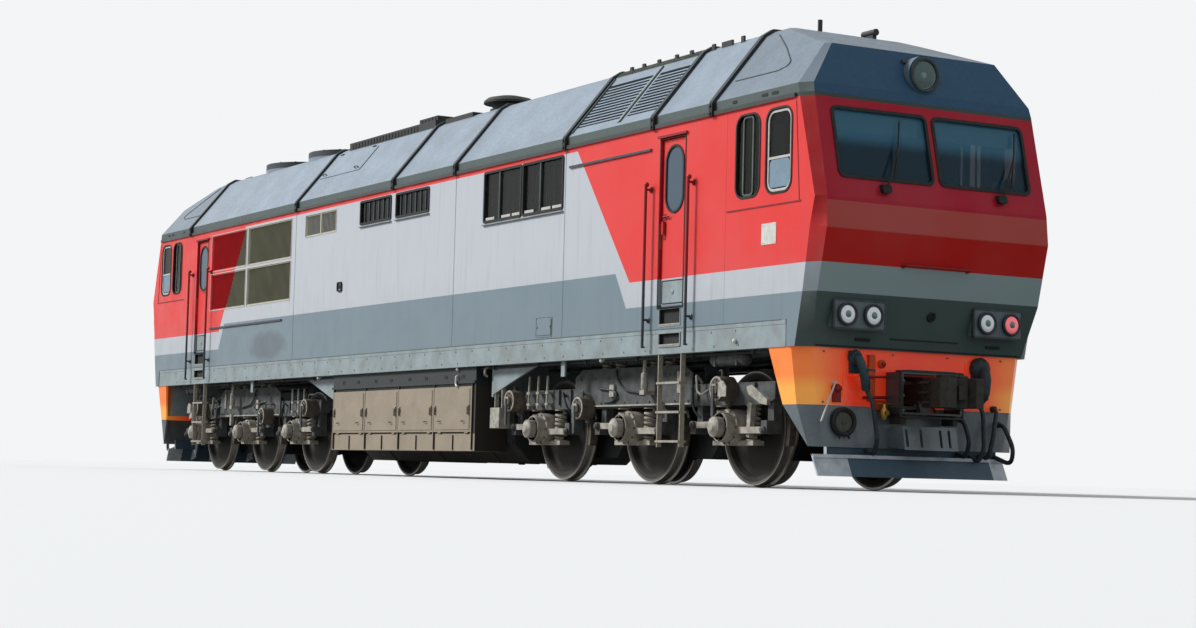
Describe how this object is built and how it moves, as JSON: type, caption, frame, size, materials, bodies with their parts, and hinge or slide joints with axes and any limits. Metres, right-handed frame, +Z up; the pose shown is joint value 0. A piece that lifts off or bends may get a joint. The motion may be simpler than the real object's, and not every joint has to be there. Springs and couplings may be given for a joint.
{
  "type": "six-axle passenger diesel locomotive",
  "caption": "Single-unit diesel locomotive with a cab at each end, two three-axle bogies, side radiators, roof fans, underfloor tank and battery boxes, doors and couplers that move.",
  "frame": {"origin": "under the middle of the locomotive, level with the wheel flange tips", "axes": "+X towards the leading cab, +Y to its left side, +Z up"},
  "size_m": [21.7, 3.128, 5.1829],
  "materials": {
    "frame_paint": "satin grey paint",
    "body_paint": "gloss light grey paint",
    "cab_paint": "gloss red paint",
    "door_paint": "gloss red paint",
    "roof_paint": "satin grey paint",
    "grille_paint": "satin grey paint",
    "window_glass": "tinted glass",
    "inner_paint": "satin paint",
    "desk_plastic": "matt plastic",
    "seat_cloth": "woven cloth",
    "engine_iron": "painted iron",
    "tank_paint": "dirty dark paint",
    "box_paint": "dusty light paint",
    "skirt_paint": "gloss orange paint",
    "plough_paint": "scuffed paint",
    "lamp_housing": "dark paint",
    "rail_steel": "bare steel",
    "bogie_paint": "dirty dark paint",
    "axle_box_iron": "dusty cast iron",
    "brake_iron": "dusty cast iron",
    "coupler_steel": "cast steel",
    "wheel_steel": "rolled steel, polished tread",
    "spring_steel": "dusty dark paint",
    "fan_alloy": "cast alloy"
  },
  "bodies": {
    "body": {"underframe": "frame_paint", "side_wall_left": "body_paint", "side_wall_right": "body_paint", "cab_front": "cab_paint", "cab_rear": "cab_paint", "windscreens": "window_glass", "side_windows": "window_glass", "side_grilles": "grille_paint", "roof_cooling": "roof_paint", "roof_engine": "roof_paint", "roof_cab_front": "roof_paint", "roof_cab_rear": "roof_paint", "bulkheads": "inner_paint", "cab_desks": "desk_plastic", "cab_seats": "seat_cloth", "engine_block": "engine_iron", "fuel_tank": "tank_paint", "battery_boxes": "box_paint", "end_skirts": "skirt_paint", "ploughs": "plough_paint", "nose_lamps": "lamp_housing", "headlamps": "lamp_housing", "grab_rails": "rail_steel", "ladders": "frame_paint", "roof_fittings": "roof_paint"},
    "bogie_front": {"bogie_frame_front": "bogie_paint", "axle_boxes_front": "axle_box_iron", "brake_gear_front": "brake_iron", "traction_motors_front": "engine_iron", "bogie_springs_front": "spring_steel"},
    "wheelset_front_1": {"wheelset_front_1": "wheel_steel"},
    "wheelset_front_2": {"wheelset_front_2": "wheel_steel"},
    "wheelset_front_3": {"wheelset_front_3": "wheel_steel"},
    "bogie_rear": {"bogie_frame_rear": "bogie_paint", "axle_boxes_rear": "axle_box_iron", "brake_gear_rear": "brake_iron", "traction_motors_rear": "engine_iron", "bogie_springs_rear": "spring_steel"},
    "wheelset_rear_1": {"wheelset_rear_1": "wheel_steel"},
    "wheelset_rear_2": {"wheelset_rear_2": "wheel_steel"},
    "wheelset_rear_3": {"wheelset_rear_3": "wheel_steel"},
    "door_front_left": {"door_front_left": "door_paint"},
    "door_front_right": {"door_front_right": "door_paint"},
    "door_rear_left": {"door_rear_left": "door_paint"},
    "door_rear_right": {"door_rear_right": "door_paint"},
    "battery_cover_left_1": {"battery_cover_left_1": "box_paint"},
    "battery_cover_left_2": {"battery_cover_left_2": "box_paint"},
    "battery_cover_left_3": {"battery_cover_left_3": "box_paint"},
    "battery_cover_left_4": {"battery_cover_left_4": "box_paint"},
    "battery_cover_right_1": {"battery_cover_right_1": "box_paint"},
    "battery_cover_right_2": {"battery_cover_right_2": "box_paint"},
    "battery_cover_right_3": {"battery_cover_right_3": "box_paint"},
    "battery_cover_right_4": {"battery_cover_right_4": "box_paint"},
    "coupler_front": {"coupler_front": "coupler_steel"},
    "coupler_rear": {"coupler_rear": "coupler_steel"},
    "cooling_fan_1": {"cooling_fan_1": "fan_alloy"},
    "cooling_fan_2": {"cooling_fan_2": "fan_alloy"}
  },
  "joints": [
    {"name": "bogie_front_yaw", "type": "hinge", "parent": "body", "child": "bogie_front", "pos_m": [6.15, 0, 0.638], "axis": [0, 0, 1], "range_deg": [-3, 3]},
    {"name": "wheelset_front_1_spin", "type": "hinge", "parent": "bogie_front", "child": "wheelset_front_1", "pos_m": [8.3, 0, 0.638], "axis": [0, 1, 0], "continuous": true},
    {"name": "wheelset_front_2_spin", "type": "hinge", "parent": "bogie_front", "child": "wheelset_front_2", "pos_m": [6.15, 0, 0.638], "axis": [0, 1, 0], "continuous": true},
    {"name": "wheelset_front_3_spin", "type": "hinge", "parent": "bogie_front", "child": "wheelset_front_3", "pos_m": [4, 0, 0.638], "axis": [0, 1, 0], "continuous": true},
    {"name": "bogie_rear_yaw", "type": "hinge", "parent": "body", "child": "bogie_rear", "pos_m": [-6.15, 0, 0.638], "axis": [0, 0, 1], "range_deg": [-3, 3]},
    {"name": "wheelset_rear_1_spin", "type": "hinge", "parent": "bogie_rear", "child": "wheelset_rear_1", "pos_m": [-8.3, 0, 0.638], "axis": [0, 1, 0], "continuous": true},
    {"name": "wheelset_rear_2_spin", "type": "hinge", "parent": "bogie_rear", "child": "wheelset_rear_2", "pos_m": [-6.15, 0, 0.638], "axis": [0, 1, 0], "continuous": true},
    {"name": "wheelset_rear_3_spin", "type": "hinge", "parent": "bogie_rear", "child": "wheelset_rear_3", "pos_m": [-4, 0, 0.638], "axis": [0, 1, 0], "continuous": true},
    {"name": "door_front_left_swing", "type": "hinge", "parent": "body", "child": "door_front_left", "pos_m": [7.76, 1.38, 2.9], "axis": [0, 0, 1], "range_deg": [0, 90]},
    {"name": "door_front_right_swing", "type": "hinge", "parent": "body", "child": "door_front_right", "pos_m": [7.76, -1.38, 2.9], "axis": [0, 0, -1], "range_deg": [0, 90]},
    {"name": "door_rear_left_swing", "type": "hinge", "parent": "body", "child": "door_rear_left", "pos_m": [-7.995, 1.38, 2.9], "axis": [0, 0, -1], "range_deg": [0, 90]},
    {"name": "door_rear_right_swing", "type": "hinge", "parent": "body", "child": "door_rear_right", "pos_m": [-7.995, -1.38, 2.9], "axis": [0, 0, 1], "range_deg": [0, 90]},
    {"name": "battery_cover_left_1_drop", "type": "hinge", "parent": "body", "child": "battery_cover_left_1", "pos_m": [0.3, 1.43, 0.591], "axis": [-1, 0, 0], "range_deg": [0, 90]},
    {"name": "battery_cover_left_2_drop", "type": "hinge", "parent": "body", "child": "battery_cover_left_2", "pos_m": [0.3, 1.43, 0.591], "axis": [-1, 0, 0], "range_deg": [0, 90]},
    {"name": "battery_cover_left_3_drop", "type": "hinge", "parent": "body", "child": "battery_cover_left_3", "pos_m": [0.3, 1.43, 0.591], "axis": [-1, 0, 0], "range_deg": [0, 90]},
    {"name": "battery_cover_left_4_drop", "type": "hinge", "parent": "body", "child": "battery_cover_left_4", "pos_m": [0.3, 1.43, 0.591], "axis": [-1, 0, 0], "range_deg": [0, 90]},
    {"name": "battery_cover_right_1_drop", "type": "hinge", "parent": "body", "child": "battery_cover_right_1", "pos_m": [0.3, -1.43, 0.591], "axis": [1, 0, 0], "range_deg": [0, 90]},
    {"name": "battery_cover_right_2_drop", "type": "hinge", "parent": "body", "child": "battery_cover_right_2", "pos_m": [0.3, -1.43, 0.591], "axis": [1, 0, 0], "range_deg": [0, 90]},
    {"name": "battery_cover_right_3_drop", "type": "hinge", "parent": "body", "child": "battery_cover_right_3", "pos_m": [0.3, -1.43, 0.591], "axis": [1, 0, 0], "range_deg": [0, 90]},
    {"name": "battery_cover_right_4_drop", "type": "hinge", "parent": "body", "child": "battery_cover_right_4", "pos_m": [0.3, -1.43, 0.591], "axis": [1, 0, 0], "range_deg": [0, 90]},
    {"name": "coupler_front_swing", "type": "hinge", "parent": "body", "child": "coupler_front", "pos_m": [9.33, 0, 1.008], "axis": [0, 0, 1], "range_deg": [-12, 12]},
    {"name": "coupler_rear_swing", "type": "hinge", "parent": "body", "child": "coupler_rear", "pos_m": [-9.33, 0, 1.008], "axis": [0, 0, 1], "range_deg": [-12, 12]},
    {"name": "cooling_fan_1_spin", "type": "hinge", "parent": "body", "child": "cooling_fan_1", "pos_m": [-6.63, 0, 4.823], "axis": [0, 0, 1], "continuous": true},
    {"name": "cooling_fan_2_spin", "type": "hinge", "parent": "body", "child": "cooling_fan_2", "pos_m": [-4.78, 0, 4.823], "axis": [0, 0, 1], "continuous": true}
  ]
}
